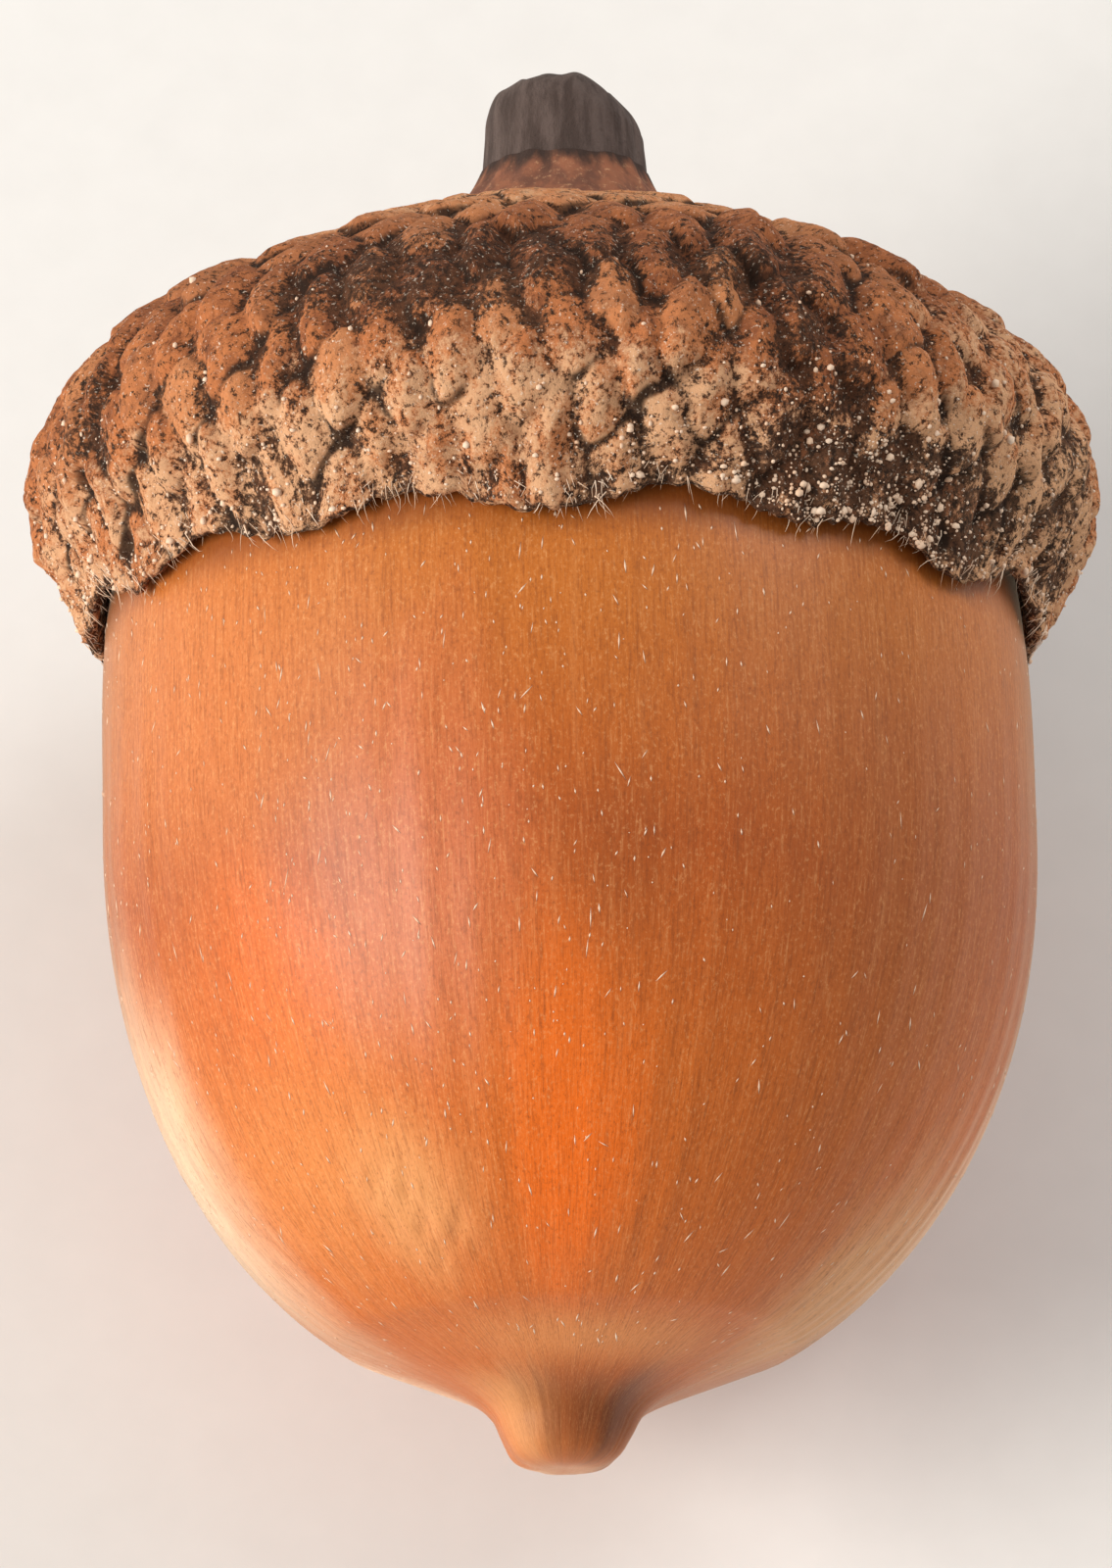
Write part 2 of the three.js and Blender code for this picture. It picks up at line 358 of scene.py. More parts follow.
# Real colour patches on the nut, and painted highlights, painted rim reflections and painted shade
NUT_STAINS_AND_LIGHT = [
    # angle in degrees, height, half width, half length, colour, strength
    # painted shade: darker brown on the right side, away from the key light
    (FRONT + 48, 9.0, 5.0, 8.0, CLOVE, 0.6),
    (FRONT - 48, 13.5, 5.5, 5.0, SALMON, 0.6),
    # painted highlight: rosy sheen on the left front, where the key light reflects
    (FRONT - 18, 9.5, 2.6, 6.5, ROSE, 0.6),
    (FRONT - 45, 4.5, 5.0, 4.0, APRICOT, 0.6),
    (FRONT - 42, 8.0, 3.0, 3.0, ORANGE, 0.35),
    (FRONT + 1, 4.4, 2.6, 5.6, ORANGE, 0.85),
    (FRONT + 6, 9.6, 1.8, 2.6, UMBER, 0.3),
    # painted highlight: pale gloss spot low on the left front
    (FRONT - 30, 3.9, 3.4, 2.6, STRAW, 0.5),
    # painted reflection: pale cream band along the left edge, as the floor reflects at grazing angles
    (FRONT - 86, 5.2, 4.4, 7.0, IVORY, 0.85),
    # painted reflection: pale band along the lower right edge
    (FRONT + 78, 3.0, 5.5, 4.2, STRAW, 0.8),
    (FRONT + 14, 1.9, 11.0, 1.5, PEACH, 0.7),
    # painted light: the nub's left front paler, as the lit side
    (FRONT - 36, 0.9, 7.0, 1.7, STRAW, 0.6),
    # painted shade: the nub's right half dark umber, as the unlit side
    (FRONT + 32, 0.9, 14.0, 1.9, UMBER, 1.0),
]


def stain_and_light_mark(g, fibre, wander, angle, height, wide, long):
    """A soft-edged mark on the nut, round a place given by its angle and height."""
    turn = math.radians(angle)
    centre = (NUT_RADIUS * math.cos(turn), NUT_RADIUS * math.sin(turn), float(NUT_OUTLINE.where(height)))
    offset = g.add("VectorMath", {0: fibre, 1: centre}, operation="SUBTRACT")
    offset = g.stretch(offset, 1 / wide, 1 / wide, 1 / long)
    distance = g.add("VectorMath", {0: offset}, output="Value", operation="LENGTH")
    return g.step(g.math("ADD", distance, g.math("MULTIPLY", wander, 0.9)), 1.45, 0.55)


def nut_material():
    """Satin shell: fine lengthwise fibres, a honey band under the cap, broad stains, painted highlights and
    rim reflections, and painted shade on the right side, on the nub and below the rim.
    """
    g = Graph("nut_shell")
    fibre = g.vector("fibre")
    along = g.parts(fibre)[2]
    threads = g.noise(g.stretch(fibre, 17, 17, 1.5), detail=4, rough=0.65)
    strands = g.noise(g.stretch(fibre, 4.0, 4.0, 0.25), detail=5, rough=0.6)
    blotches = g.noise(g.stretch(fibre, 0.3, 0.3, 0.16), detail=4, twist=0.4)
    grain = g.noise(g.stretch(fibre, 14, 14, 10), detail=4, rough=0.7)
    height = g.math("DIVIDE", g.math("ADD", along, g.math("MULTIPLY", blotches, 3.0)), 24.0)
    colour = g.ramp(height, (0.08, SALMON), (0.2, AMBER), (0.5, AMBER), (0.66, RUSSET), (0.86, HONEY))
    # lays on the real colour patches and the painted light and shade
    for *place, tint, strength in NUT_STAINS_AND_LIGHT:
        mask = stain_and_light_mark(g, fibre, blotches, *place)
        colour = g.mix(g.math("MULTIPLY", mask, strength), colour, tint)
    rim = float(NUT_OUTLINE.where(CAP_RIM))
    # painted shade: umber darkening that starts just below the cap's rim and deepens under it, where the
    # rim casts its shadow
    shaded = g.step(g.math("ADD", along, blotches), rim - 0.3, rim + 0.6, 0.0, 0.75)
    colour = g.mix(g.step(strands, 0.5, 0.8, 0.0, 0.2), colour, UMBER)
    colour = g.mix(g.step(strands, 0.5, 0.2, 0.0, 0.1), colour, STRAW)
    colour = g.mix(g.step(threads, 0.48, 0.7, 0.0, 0.42), colour, UMBER)
    colour = g.mix(g.step(threads, 0.46, 0.28, 0.0, 0.24), colour, STRAW)
    colour = g.mix(g.step(grain, 0.52, 0.72, 0.0, 0.36), colour, STRAW)
    colour = g.mix(g.step(grain, 0.48, 0.28, 0.0, 0.5), colour, UMBER)
    colour = g.mix(shaded, colour, UMBER)
    g.bump(g.math("ADD", threads, g.math("MULTIPLY", grain, 0.6)), 0.3, 0.00003)
    g.put(g.shader.inputs["Coat Weight"], NUT_COAT)
    g.put(g.shader.inputs["Coat Roughness"], NUT_COAT_ROUGHNESS)
    g.put(g.shader.inputs["Sheen Weight"], NUT_SHEEN)
    g.put(g.shader.inputs["Sheen Roughness"], NUT_SHEEN_ROUGHNESS)
    g.put(g.shader.inputs["Sheen Tint"], NUT_SHEEN_TINT)
    return g.finish(colour, g.step(threads, 0.2, 0.8, 0.4, 0.55), 0.2)


BARK = (0.06, 0.039, 0.032)
BARK_PALE = (0.12, 0.085, 0.073)
SOOT = (0.028, 0.016, 0.011)
SEPIA = (0.085, 0.036, 0.02)
TAN = (0.64, 0.27, 0.115)
RUST = (0.53, 0.185, 0.068)
CHESTNUT = (0.26, 0.088, 0.038)
BEIGE = (0.72, 0.41, 0.225)
CREAM = (0.88, 0.76, 0.62)
NECK_BROWN = (0.34, 0.135, 0.075)
NECK_DARK = (0.2, 0.088, 0.058)
FLOOR_DARK = (0.74, 0.73, 0.71)
FLOOR_PALE = (0.79, 0.78, 0.76)
CAP_DIRT = [
    # angle in degrees, height, half width, half length, strength
    (FRONT - 16, 20.9, 3.4, 1.2, 1.1),
    (FRONT + 16, 21.0, 3.0, 1.0, 0.8),
    (FRONT + 27, 18.8, 1.3, 2.2, 0.8),
    (FRONT + 40, 17.2, 4.0, 0.9, 1.2),
    (FRONT - 62, 19.4, 1.2, 1.6, 0.6),
    (FRONT + 75, 18.2, 2.4, 1.6, 0.6),
    (FRONT + 160, 20.5, 3.0, 2.0, 0.7),
    (FRONT - 130, 21.5, 3.4, 1.6, 0.7),
]
CAP_PALE_AND_LIT = [
    # angle in degrees, height, half width, half length, strength
    # painted light: pale patch on the cap's right side, where light from the right falls
    (FRONT + 66, 20.0, 5.0, 2.8, 0.55),
    (FRONT - 4, 18.9, 4.0, 1.4, 0.3),
]


def patch(g, place, angle, height, wide, long, strength):
    """A soft-edged mark on the cap, round a place given by its angle and height."""
    turn = math.radians(angle)
    middle = (CAP_CORE_RADIUS * math.cos(turn), CAP_CORE_RADIUS * math.sin(turn), height)
    offset = g.add("VectorMath", {0: place, 1: middle}, operation="SUBTRACT")
    offset = g.stretch(offset, 1 / wide, 1 / wide, 1 / long)
    distance = g.add("VectorMath", {0: offset}, output="Value", operation="LENGTH")
    return g.step(distance, 1.5, 0.3, 0.0, strength)


def cap_material():
    """Dull crusty scales: sooty cracks, rusty humps, dirty patches, painted shade in the hollows between
    the humps, a pale patch of painted light on the right side, and a pale crust by the rim.
    """
    g = Graph("cap_scales")
    place = g.vector("place")
    up = g.parts(place)[2]
    to_tip, rise, crack = g.parts(g.vector("shape"))
    chance, along, neck = g.parts(g.vector("luck"))
    clouds = g.noise(g.stretch(place, 0.42, 0.42, 0.42), detail=3)
    crust = g.noise(g.stretch(place, 2.3, 2.3, 1.7), detail=6, rough=0.72)
    speckle = g.noise(g.stretch(place, 8, 8, 7), detail=5, rough=0.8)
    grit = g.noise(g.stretch(place, 15, 15, 15), detail=3, rough=0.7)
    near_rim = g.step(along, 11.6, 14.2)
    near_neck = g.step(along, 8.8, 5.6)
    ragged = g.math("ADD", g.math("SUBTRACT", crust, 0.5), g.math("SUBTRACT", speckle, 0.5))

    body = g.mix(g.step(crust, 0.42, 0.62), RUST, CHESTNUT)
    body = g.mix(g.step(chance, 0.45, 1.0, 0.0, 0.6), body, TAN)
    band = g.math("MULTIPLY", g.step(along, 11.2, 10.0), g.step(along, 7.6, 9.0, 0.0, 0.4))
    body = g.mix(band, body, CHESTNUT)
    plates = g.mix(g.step(crust, 0.36, 0.54), BEIGE, TAN)
    body = g.mix(g.step(near_neck, 0.0, 1.0, 0.0, 0.85), body, plates)

    pale = g.math("ADD", g.math("MULTIPLY", to_tip, 0.12), g.math("MULTIPLY", ragged, 1.5))
    pale = g.math("ADD", pale, g.math("MULTIPLY", near_rim, 0.58))
    pale = g.math("ADD", pale, g.math("MULTIPLY", g.math("SUBTRACT", clouds, 0.5), 0.8))
    # pale patches, one of them painted light on the right side
    for spot in CAP_PALE_AND_LIT:
        pale = g.math("ADD", pale, patch(g, place, *spot))
    colour = g.mix(g.step(pale, 0.4, 0.8, 0.0, 0.9), body, BEIGE)

    # dark patches of real grime, together with painted shade in the hollows
    dirt_and_shade = g.math("SUBTRACT", clouds, 0.5)
    for *spot, strength in CAP_DIRT:
        dirt_and_shade = g.math("ADD", dirt_and_shade, patch(g, place, *spot, 0.75 * strength))
    # painted shade: darker in the low places between the humps, a little less by the rim
    hollow = g.math("MULTIPLY", g.step(rise, 0.72, 0.12), g.step(near_rim, 0.0, 1.0, 0.95, 0.6))
    dirt_and_shade = g.math("ADD", dirt_and_shade, hollow)
    dirt_and_shade = g.math("SUBTRACT", dirt_and_shade, g.math("MULTIPLY", ragged, 2.6))
    soil_and_shade = g.mix(g.step(speckle, 0.42, 0.6), SOOT, g.mix(g.step(crust, 0.5, 0.62), SEPIA, CHESTNUT))
    colour = g.mix(g.step(dirt_and_shade, 0.2, 0.7, 0.0, 0.92), colour, soil_and_shade)
    colour = g.mix(g.step(crack, 0.35, 0.95, 0.0, 0.92), colour, SOOT)
    colour = g.mix(g.step(grit, 0.6, 0.7, 0.0, 0.7), colour, CREAM)
    colour = g.mix(g.step(speckle, 0.48, 0.38, 0.0, 0.85), colour, SOOT)

    fibres = g.noise(g.stretch(place, 3, 3, 0.5), detail=4)
    bark = g.mix(g.step(fibres, 0.35, 0.65), NECK_BROWN, NECK_DARK)
    bark = g.mix(g.step(speckle, 0.55, 0.7, 0.0, 0.8), bark, BEIGE)
    bark = g.mix(g.step(g.math("ADD", up, fibres), 25.9, 26.4), bark, BARK)
    colour = g.mix(neck, colour, bark)
    g.bump(g.math("ADD", speckle, g.math("MULTIPLY", grit, 0.5)), 0.6, 0.00012)
    return g.finish(colour, g.step(grit, 0.2, 0.8, 0.75, 0.95), 0.1)


def stalk_material():
    g = Graph("stalk_bark")
    place = g.vector("place")
    fibres = g.noise(g.stretch(place, 4, 4, 0.6), detail=5, rough=0.6)
    grit = g.noise(g.stretch(place, 11, 11, 8), detail=4, rough=0.7)
    colour = g.mix(g.step(fibres, 0.35, 0.65), BARK, BARK_PALE)
    colour = g.mix(g.step(grit, 0.6, 0.75, 0.0, 0.5), colour, SOOT)
    g.bump(g.math("ADD", fibres, grit), 0.6, 0.00015)
    return g.finish(colour, 0.8, 0.3)


def down_material(name):
    g = Graph(name)
    place = g.vector("place")
    shade = g.noise(g.stretch(place, 2, 2, 2), detail=2)
    return g.finish(g.mix(shade, BEIGE, CREAM), 0.6, 0.4)


def floor_material():
    g = Graph("floor")
    place = g.add("TexCoord", {}, output="Object")
    speckle = g.noise(g.stretch(place, 900, 900, 900), detail=3)
    return g.finish(g.mix(speckle, FLOOR_DARK, FLOOR_PALE), 0.7, 0.3)


# Nut

NUT_COLUMNS = 512
NUT_ROWS_SHOWN = 168
NUT_ROWS_HELD = 16
CRINKLE_ANGLE = math.radians(FRONT - 30)
CRINKLE_ALONG = float(NUT_OUTLINE.where(3.7))


def nut_rows():
    """Distances along the nut's outline: close together where it shows, and wide apart under the cap."""
    rim = NUT_OUTLINE.where(CAP_RIM + 0.5)
    shown = np.linspace(0.1, rim, NUT_ROWS_SHOWN)
    return np.concatenate([shown, np.linspace(rim, NUT_OUTLINE.length, NUT_ROWS_HELD + 1)[1:]])


def nut_surface(along, angle, rng):
    """Points of the nut's skin, with its shallow swellings and ridges."""
    place = NUT_OUTLINE.point(along)
    body = smooth(3.0, 7.0, along) * smooth(20, 16, along)
    swell = 0.035 * ripples(rng, angle, along, (2, 6), 0.35) * body
    ridges = 0.006 * ripples(rng, angle, along, (24, 80), 0.25, count=30) * (0.2 + 0.8 * body)
    beside = (angle - CRINKLE_ANGLE + math.pi) % (2 * math.pi) - math.pi
    near = np.exp(-((beside * place[..., 0] / 1.5) ** 2) - ((along - CRINKLE_ALONG) / 1.3) ** 2)
    ridges = ridges + 0.022 * near * ripples(rng, angle, along, (30, 110), 9.0, count=24)
    nub = 0.03 * ripples(rng, angle, along, (3, 9), 1.2) * smooth(0.3, 1, along) * smooth(4.5, 2.5, along)
    points = around_axis(place[..., 0] + swell + ridges + nub, angle, place[..., 1])
    points[..., 0] += NUT_SIDEWAYS_BELLY * np.sin(math.pi * np.clip(points[..., 2] / CAP_RIM, 0, 1))
    return points


def make_nut():
    along = nut_rows()[:, None]
    angle = np.linspace(0, 2 * math.pi, NUT_COLUMNS, endpoint=False)[None, :]
    along, angle = np.broadcast_arrays(along, angle)
    rings = nut_surface(along, angle, np.random.default_rng(SEED))
    points, faces = lathe(rings, 0, rings[-1, 0, 2])
    fibre = around_axis(NUT_RADIUS + 0 * angle, angle, along).reshape(-1, 3)
    fibre = np.vstack([fibre, [[0, 0, 0], [0, 0, NUT_OUTLINE.length]]])
    make_piece("nut_skin", points, faces, nut_material(), "nut", "nut_shell", fibre=fibre)


# Cap

DOME = Outline(spline(CAP_MERIDIAN, 900))
SKIN_KNOTS = NECK[::-1] + [(4.3, 24.02)] + CAP_MERIDIAN[3:]
SKIN = Outline(spline(SKIN_KNOTS, 1200))
SKIN.at += DOME.length - SKIN.length
CAP_COLUMNS = 800
CROWN_ROWS = 112
SKIRT_ROWS = 108
BAND_JOIN = 7.6
VALLEY = -0.2
CRUST_HEIGHT = 0.05
WARP = 0.22


def rim_wander(angle):
    """How far the ragged rim hangs below its mean height."""
    rng = np.random.default_rng(SEED + 1)
    broad = 0.15 * ripples(rng, angle, 0 * angle, (3, 15), 0, count=14)
    return broad + 0.04 * ripples(rng, angle, 0 * angle, (30, 150), 0, count=24)


def skin_point(along, angle, height):
    """Points at a height above the cap's skin, from the top of the neck to the rim."""
    place = SKIN.point(along)
    slope = SKIN.tangent(along)
    radius = place[..., 0] - slope[..., 1] * height
    return around_axis(radius, angle, place[..., 1] + slope[..., 0] * height)


def scale_sites():
    sites = []
    share = FIRST_SCALE
    while share < LAST_SCALE:
        along = share * DOME.length
        width = SCALE_WIDTH_AT_NECK + (SCALE_WIDTH_AT_RIM - SCALE_WIDTH_AT_NECK) * share
        sites.append((along, SPIRAL_PHASE + (len(sites) + 1) * GOLDEN_ANGLE, width))
        share += width * width / (2 * math.pi * DOME.point(along)[0] * DOME.length)
    return sites


def roughness_at(points, per_mm, octaves=4, shift=0.0):
    """Fractal noise in space, about -1 to 1, for the lumps and pits of a crusty surface."""
    flat = points.reshape(-1, 3) * per_mm + shift
    values = [noise.fractal(Vector(place), 0.8, 2.1, octaves) for place in flat]
    return np.array(values).reshape(points.shape[:-1])


def scale_relief(rng, share, width, aside, down):
    """One scale's height over a patch of skin, its claim to each place, and the way to its tip."""
    turn = rng.normal(0, 0.12)
    cosine, sine = math.cos(turn), math.sin(turn)
    aside, down = aside * cosine - down * sine, aside * sine + down * cosine
    across = aside / (width * rng.uniform(0.68, 0.9))
    tip = down / (width * (0.9 + 0.3 * smooth(0.4, 0.65, share)) * rng.uniform(0.85, 1.15))
    power = 1.35 + 0.45 * smooth(0.3, 0.6, share)
    inside = np.clip(1 - (np.abs(across) ** power + np.abs(tip) ** power) ** (1 / power), 0, 1)
    claim = inside + 0.16 * np.clip(tip, -1, 1) + rng.normal(0, 0.03)
    plate = width * (0.1 * (1 - (1 - inside) ** 6) + 0.05 * tip) - 0.05
    girth = rng.uniform(0.38, 0.56)
    ridge = np.exp(-((across / girth) ** 2)) * smooth(-1.05, -0.2, tip) * smooth(1.0, 0.45, tip)
    full = rng.uniform(0.19, 0.34) * (1 - 0.35 * smooth(0.8, 1, share))
    hump = width * (full * ridge + 0.03 * tip - 0.13)
    humped = smooth(0.34, 0.54, share)
    return plate + (hump - plate) * humped, np.where(inside > 0, claim, -1), tip


def cap_relief(along, angle):
    """Heights over a grid on the skin, and the marks that colour it: tip, rise, crack and chance."""
    rng = np.random.default_rng(SEED + 2)
    ground = skin_point(along, angle, 0)
    ring = np.maximum(SKIN.point(along)[..., 0], 1.5)
    aside_warp = WARP * roughness_at(ground, 0.9, 3)
    down_warp = WARP * roughness_at(ground, 0.9, 3, shift=40.0)
    claim = np.full(along.shape, -0.5)
    runner_up = np.full(along.shape, -0.5)
    height, tip, chance = np.zeros((3, *along.shape))
    height += VALLEY
    columns = along.shape[1]
    for site, turn, width in scale_sites():
        share = site / DOME.length
        draw = rng.uniform()
        rows = np.flatnonzero(np.abs(along[:, 0] - site) < 1.4 * width)
        if not len(rows):
            continue
        half = min(int(1.3 * width / ring[rows].min() / (2 * math.pi) * columns), columns // 2 - 1)
        middle = round(turn / (2 * math.pi) * columns)
        patch = np.ix_(rows, np.arange(middle - half, middle + half + 1) % columns)
        away = (angle[patch] - turn + math.pi) % (2 * math.pi) - math.pi
        aside = away * ring[patch] + aside_warp[patch]
        down = along[patch] - site + down_warp[patch]
        new_height, new_claim, new_tip = scale_relief(rng, share, width, aside, down)
        wins = new_claim > claim[patch]
        runner_up[patch] = np.where(wins, claim[patch], np.maximum(runner_up[patch], new_claim))
        for field, value in ((claim, new_claim), (height, new_height), (tip, new_tip), (chance, draw)):
            field[patch] = np.where(wins, value, field[patch])
    broken = smooth(-0.25, 0.3, roughness_at(ground, 0.6, 3, shift=80.0))
    whole = 0.4 + 0.5 * smooth(9.5, 7, along)
    crack = softened(1 - smooth(0.0, 0.19, claim - runner_up))
    crack = np.clip(1.3 * crack, 0, 1) * (whole + (1 - whole) * broken)
    rise = np.clip((height - VALLEY) / 0.4, 0, 1)
    crusted = 0.6 + 0.6 * smooth(8, 12, along)
    lumps = roughness_at(ground, 1.7, 5, shift=120.0)
    height = softened(np.maximum(height, VALLEY) - 0.07 * crack) + CRUST_HEIGHT * crusted * lumps
    height = height + 0.016 * crusted * roughness_at(ground, 5.0, 2, shift=160.0)
    return height, tip, rise, crack, chance


def hung(points, angle):
    """Points near the rim, let down by as much as the rim wanders there."""
    drop = rim_wander(angle) * smooth(CAP_RIM + 1.4, CAP_RIM, points[..., 2])
    return points - drop[..., None] * [0, 0, 1]


def grid_normals(points):
    """Outward normals of a grid of rings that run downwards."""
    down = np.gradient(points, axis=0)
    beside = np.roll(points, -1, axis=1) - np.roll(points, 1, axis=1)
    normals = np.cross(down, beside)
    return normals / np.linalg.norm(normals, axis=-1, keepdims=True)


def softened(field):
    """A field with each value averaged a little with its neighbours."""
    padded = np.pad(field, ((1, 1), (0, 0)), mode="edge")
    field = (padded[:-2] + 2 * field + padded[2:]) / 4
    return (np.roll(field, 1, axis=1) + 2 * field + np.roll(field, -1, axis=1)) / 4


def hollow_profile():
    """The wall of the hollow that holds the nut, from the rim up to its roof."""
    held = superellipse(NUT_BASE + 0.06, NUT_BLUNTNESS, 0.45, NUT_SCAR_ANGLE, 14) * [1.012, 1]
    return np.vstack([[[9.2, CAP_RIM - 0.07], [9.06, CAP_RIM + 0.02]], held[held[:, 1] > CAP_RIM + 0.1]])


def cap_marks(along, angle, height, tip, rise, crack, chance):
    """The outside's points and normals, and the vectors that colour it."""
    neck = smooth(4.2, 3.2, along)
    flutes = 0.03 * ripples(np.random.default_rng(SEED + 3), angle, along, (5, 22), 0.8)
    points = hung(skin_point(along, angle, height + (flutes - height) * neck), angle)
    place = skin_point(along, angle, 0)
    shape = np.stack([tip, rise, crack], -1)
    luck = np.stack([chance, along, neck], -1)
    return points, grid_normals(points), place, shape, luck


def make_cap():
    """The cap's skin with its scales and crust, in two closed bands that meet above the dome's shoulder."""
    crown_rows = np.linspace(SKIN.at[0], BAND_JOIN, CROWN_ROWS)
    skirt_rows = np.linspace(BAND_JOIN, DOME.length, SKIRT_ROWS)
    rows = np.concatenate([crown_rows, skirt_rows[1:]])
    angle = np.linspace(0, 2 * math.pi, CAP_COLUMNS, endpoint=False)
    along, angle = np.meshgrid(rows, angle, indexing="ij")
    outside = cap_marks(along, angle, *cap_relief(along, angle))
    outside[1][-2:] = 0
    hollow = hollow_profile()
    wall = hung(around_axis(hollow[:, :1], angle[:1], hollow[:, 1:]), angle[:1])
    blank = np.zeros_like(wall)
    inside = wall, blank, wall, blank, blank + [0.5, DOME.length, 0]
    roof = int(np.flatnonzero(hollow[:, 0] > SKIN.point(BAND_JOIN)[0])[-1])
    material = cap_material()
    for name, inner, outer in (
        ("cap_crown", slice(roof, None), slice(0, CROWN_ROWS)),
        ("cap_skirt", slice(0, roof + 1), slice(CROWN_ROWS - 1, None)),
    ):
        fields = [np.concatenate([a[inner][::-1], b[outer][::-1]]) for a, b in zip(inside, outside)]
        count = len(fields[0])
        if name == "cap_crown":
            points, faces = lathe(fields[0], hollow[-1, 1], CAP_TOP)
        else:
            points, faces = fields[0].reshape(-1, 3), ring_faces(count, CAP_COLUMNS)
            here = np.arange(CAP_COLUMNS)
            beside = (here + 1) % CAP_COLUMNS
            last = (count - 1) * CAP_COLUMNS
            faces += np.stack([last + here, last + beside, beside, here], -1).tolist()
        normals, place, shape, luck = (
            np.vstack([field.reshape(-1, 3), np.zeros((len(points) - count * CAP_COLUMNS, 3))])
            for field in fields[1:]
        )
        marks = {"place": place, "shape": shape, "luck": luck}
        make_piece(name, points, faces, material, "cap", "cap_scales", normals=normals, **marks)
    return outside


# Down: pale grains and hairs on the rim and the scales by it, and flecks on the nut

GRAIN_COUNT = 2600
GRAIN_CLUSTER = (FRONT + 38, 16)
HAIR_COUNT = 700
FLECK_COUNT = 1700


class Pile:
    """Many small closed shapes gathered into one mesh."""

    def __init__(self):
        self.points, self.faces, self.count = [], [], 0

    def add(self, points, faces):
        self.points.append(points)
        self.faces += (np.asarray(faces) + self.count).tolist()
        self.count += len(points)

    def make(self, name, node, slot):
        points = np.vstack(self.points)
        make_piece(name, points, self.faces, down_material(name), node, slot, place=points)


def ball():
    """An icosahedron's corners and faces."""
    ratio = (1 + math.sqrt(5)) / 2
    corners = [(s, t * ratio, 0) for s in (-1, 1) for t in (-1, 1)]
    corners += [(0, s, t * ratio) for s in (-1, 1) for t in (-1, 1)]
    corners += [(t * ratio, 0, s) for s in (-1, 1) for t in (-1, 1)]
    corners = np.array(corners) / math.hypot(1, ratio)
    edge = 1.1  # a little over the distance between neighbours
    faces = []
    for i in range(12):
        for j in range(i + 1, 12):
            for k in range(j + 1, 12):
                a, b, c = corners[[i, j, k]]
                if max(np.linalg.norm(a - b), np.linalg.norm(b - c), np.linalg.norm(c - a)) < edge:
                    outward = np.dot(np.cross(b - a, c - a), a) > 0
                    faces.append((i, j, k) if outward else (i, k, j))
    return corners, faces


def make_grains(cap):
    """Pale grains on the crust, thickest along the rim."""
    rng = np.random.default_rng(SEED + 5)
    corners, faces = ball()
    points, normals, _, _, luck = (field.reshape(-1, 3) for field in cap)
    angle = np.degrees(np.arctan2(points[:, 1], points[:, 0]))
    cluster = np.exp(-(((angle - GRAIN_CLUSTER[0]) / GRAIN_CLUSTER[1]) ** 2))
    wanted = np.exp((luck[:, 1] - DOME.length) / 1.1) * (1 + 4 * cluster)
    chosen = rng.choice(len(points), GRAIN_COUNT, p=wanted / wanted.sum())
    pile = Pile()
    for index in chosen:
        size = min(0.024 * rng.lognormal(0, 0.5), 0.085)
        stretch = rng.uniform(0.7, 1.3, 3)
        lumps = corners * rng.uniform(0.8, 1.2, (12, 1)) * stretch * size
        pile.add(points[index] + 0.3 * size * normals[index] + lumps, faces)
    pile.make("rim_grains", "cap", "cap_scales")


def strand(root, tip, bend, thick):
    """A thin three-sided hair from root to tip, bent aside in its middle."""
    along = tip - root
    side = np.cross(along, bend)
    side = side / (np.linalg.norm(side) + 1e-9)
    other = np.cross(along, side)
    other = other / (np.linalg.norm(other) + 1e-9)
    rows = []
    for share, girth in ((0, 1), (0.4, 0.9), (0.75, 0.6), (1, 0.15)):
        centre = root + share * along + 4 * share * (1 - share) * bend
        for turn in (0, 2.1, 4.2):
            rows.append(centre + thick * girth * (math.cos(turn) * side + math.sin(turn) * other))
    faces = [(0, 2, 1), (9, 10, 11)]
    for row in (0, 3, 6):
        for k in range(3):
            a, b = row + k, row + (k + 1) % 3
            faces += [(a, b, b + 3), (a, b + 3, a + 3)]
    return np.array(rows), faces


def make_hairs():
    """Short hairs from the rim's edge, lying down over the nut."""
    rng = np.random.default_rng(SEED + 6)
    pile = Pile()
    for _ in range(HAIR_COUNT):
        angle = rng.uniform(0, 2 * math.pi)
        along = DOME.length - rng.uniform(0, 0.5)
        root = hung(skin_point(np.array([along]), np.array([angle]), 0.02), np.array([angle]))[0]
        down = rng.uniform(0.12, 0.5)
        lean = angle + rng.normal(0, 0.02)
        height = root[2] - down
        reach = nut_radius(height) + rng.uniform(0.0, 0.25)
        tip = around_axis(np.array([reach]), np.array([lean]), np.array([height]))[0]
        bend = rng.normal(0, 0.05, 3)
        pile.add(*strand(root, tip, bend, rng.uniform(0.006, 0.012)))
    pile.make("rim_hairs", "cap", "cap_scales")


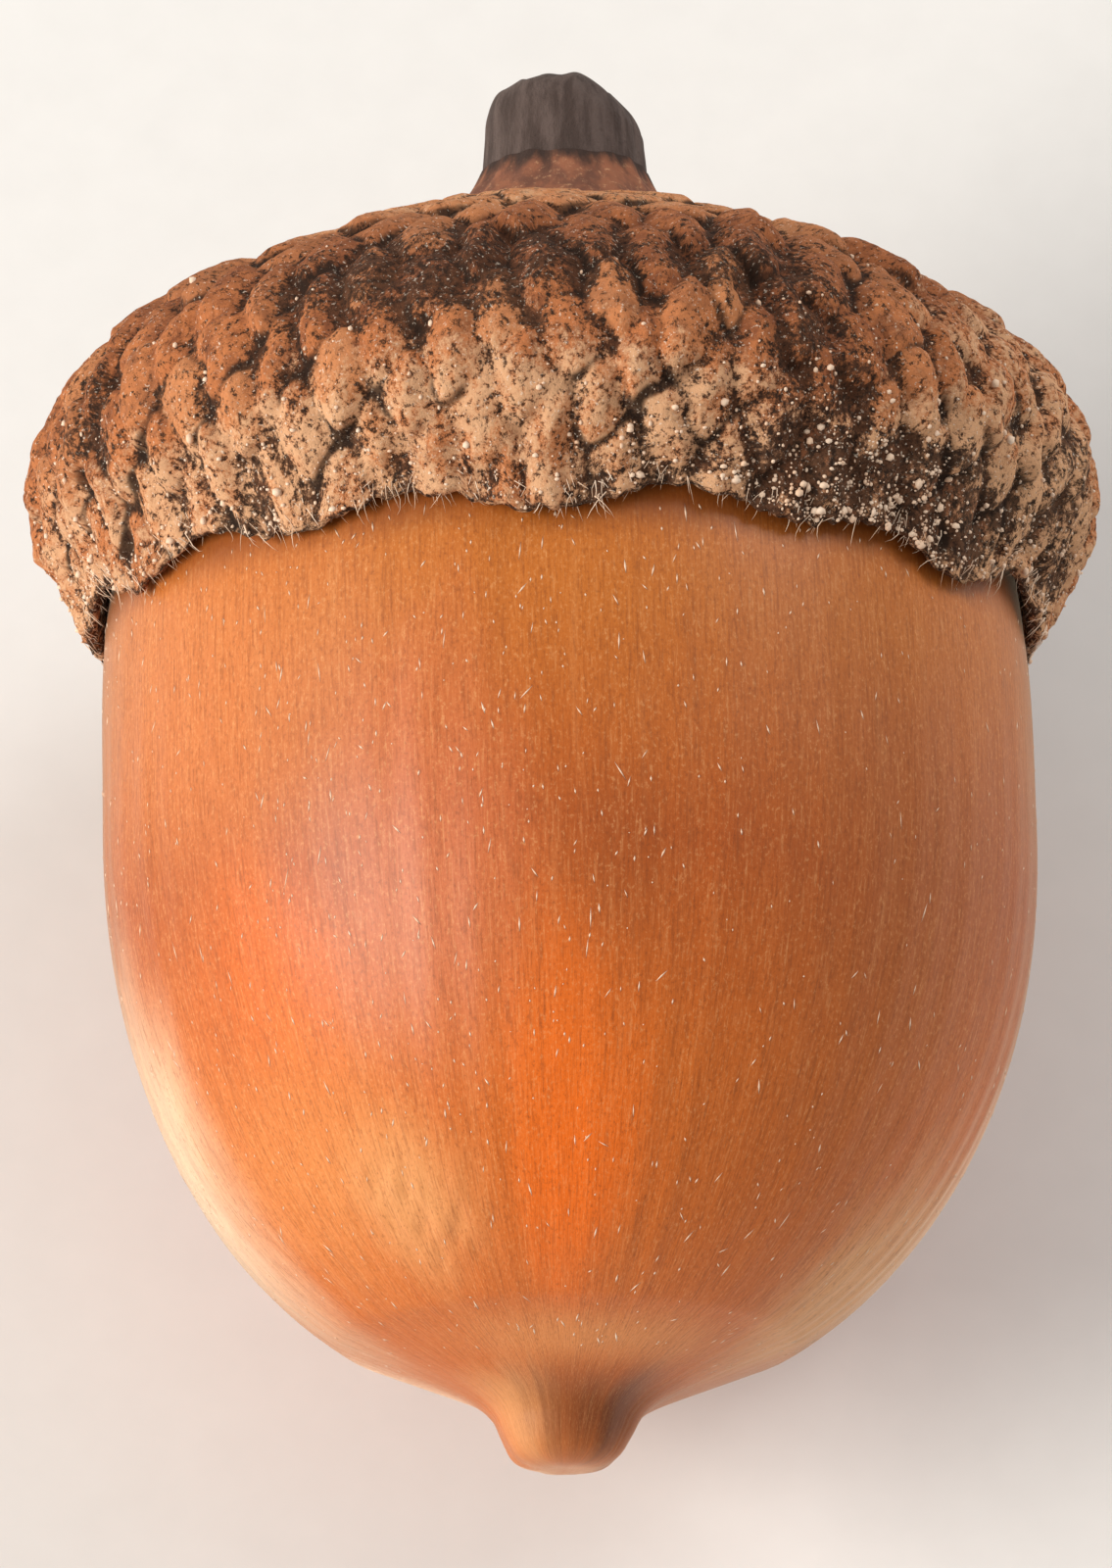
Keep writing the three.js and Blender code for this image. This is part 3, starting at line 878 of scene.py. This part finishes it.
def make_flecks():
    """Flecks of pale down that lie along the nut, thickest under the rim and on the key-lit left side,
    where they stand in for glints.
    """
    rng = np.random.default_rng(SEED + 7)
    pile = Pile()
    rim = NUT_OUTLINE.where(CAP_RIM)
    while pile.count < 6 * FLECK_COUNT:
        angle = rng.uniform(0, 2 * math.pi)
        along = rng.uniform(3.5, rim)
        # painted light: more flecks on the lit left side, standing in for glints
        aside = math.cos(angle - math.radians(FRONT - 25))
        flank = 0.55 * max(aside, 0) ** 4 * smooth(6, 12, along)
        if rng.uniform() > 0.25 + flank + 0.3 * smooth(rim - 2, rim, along):
            continue
        length = 0.5 * min(0.11 * rng.lognormal(0, 0.6), 0.45)
        width = rng.uniform(0.01, 0.02)
        swing = rng.normal(0, 0.35)
        ring = float(NUT_OUTLINE.point(along)[0])
        ends = np.array([(1, 0), (0, 1), (-1, 0), (0, -1)]) * [length, width]
        ends = ends @ np.array([[math.cos(swing), -math.sin(swing)], [math.sin(swing), math.cos(swing)]])
        at = along + np.append(ends[:, 0], [0, 0])
        turn = angle + np.append(ends[:, 1], [0, 0]) / ring
        rise = np.array([0.003, 0.003, 0.003, 0.003, 0.014, -0.02])
        place = nut_surface(at, turn, np.random.default_rng(SEED))
        outward = around_axis(np.ones(6), turn, 0)
        faces = [(k, (k + 1) % 4, 4) for k in range(4)] + [((k + 1) % 4, k, 5) for k in range(4)]
        pile.add(place + outward * rise[:, None], faces)
    pile.make("nut_flecks", "nut", "nut_shell")


# Stalk

STALK_COLUMNS = 160
STALK_ROWS = 46


def make_stalk():
    rng = np.random.default_rng(SEED + 4)
    side = spline(STALK, STALK_ROWS)
    end = np.linspace(side[-1], (0.1, STALK_TOP), 14)[1:]
    outline = np.vstack([side, end])
    angle = np.linspace(0, 2 * math.pi, STALK_COLUMNS, endpoint=False)[None, :]
    height = outline[:, 1:] + 0 * angle
    radius = outline[:, :1] * (1 + 0.009 * ripples(rng, angle, height, (2, 26), 1.0, count=24))
    rings = around_axis(radius, angle + 0 * radius, height)
    upper = smooth(CAP_TOP, STALK_TOP, height)
    aside = smooth(SNAP_START, STALK_RADIUS, rings[..., 0])
    splinters = 0.03 * ripples(rng, angle, radius * 4, (3, 14), 1.5)
    rings[..., 2] += upper * (splinters - 0.03 - (SNAP_DROP - 0.1) * aside)
    points, faces = lathe(rings, CAP_TOP - 0.1, float(rings[-1, :, 2].mean()))
    make_piece("stalk_stub", points, faces, stalk_material(), "stalk", "stalk_bark", place=points)


# Studio

FLOOR_SIDE = 1.2
LIGHT_AIM = (0, 0, 0.009)
LIGHT_DISTANCE = 0.25
LIGHTS = [
    # name, direction, size, power, colour
    ("key", (-0.82, -0.25, 0.52), 0.17, 0.74, (1.0, 0.96, 0.9)),
    ("back", (0.62, 0.55, 0.56), 0.14, 0.3, (1.0, 0.97, 0.94)),
]
WORLD_COLOUR = (1.0, 0.985, 0.97, 1)
WORLD_STRENGTH = 0.43


def make_floor():
    mesh = bpy.data.meshes.new("floor")
    half = FLOOR_SIDE / 2
    corners = [(-half, -half, 0), (half, -half, 0), (half, half, 0), (-half, half, 0)]
    mesh.from_pydata(corners, [], [(0, 1, 2, 3)])
    mesh.materials.append(floor_material())
    floor = bpy.data.objects.new("floor", mesh)
    bpy.context.collection.objects.link(floor)


def look_at(obj, target):
    obj.rotation_euler = (Vector(target) - obj.location).to_track_quat("-Z", "Y").to_euler()


def make_camera():
    camera = bpy.data.cameras.new("camera")
    camera.sensor_fit = "VERTICAL"
    camera.sensor_height = SENSOR_HEIGHT
    camera.lens = SENSOR_HEIGHT * CAMERA_DISTANCE / VIEW_HEIGHT
    camera.clip_start = 0.005
    obj = bpy.data.objects.new("camera", camera)
    aim = np.array(CAMERA_AIM)
    away = np.array([0, -math.cos(CAMERA_TIP), -math.sin(CAMERA_TIP)])
    eye, target = laid_down([aim + CAMERA_DISTANCE * away, aim])
    obj.location = eye
    bpy.context.collection.objects.link(obj)
    look_at(obj, target)
    bpy.context.scene.camera = obj


def make_light(name, place, target, size, power, colour):
    light = bpy.data.lights.new(name, "AREA")
    light.shape = "DISK"
    light.size = size
    light.energy = power
    light.color = colour
    obj = bpy.data.objects.new(name, light)
    obj.location = place
    bpy.context.collection.objects.link(obj)
    look_at(obj, target)


def make_studio():
    middle = np.array(LIGHT_AIM)
    for name, direction, size, power, colour in LIGHTS:
        make_light(name, middle + LIGHT_DISTANCE * np.array(direction), middle, size, power, colour)
    world = bpy.data.worlds.new("studio")
    world.use_nodes = True
    background = world.node_tree.nodes["Background"]
    background.inputs["Color"].default_value = WORLD_COLOUR
    background.inputs["Strength"].default_value = WORLD_STRENGTH
    bpy.context.scene.world = world
    bpy.context.scene.view_settings.view_transform = "Standard"


make_nut()
make_grains(make_cap())
make_hairs()
make_flecks()
make_stalk()
make_floor()
make_camera()
make_studio()
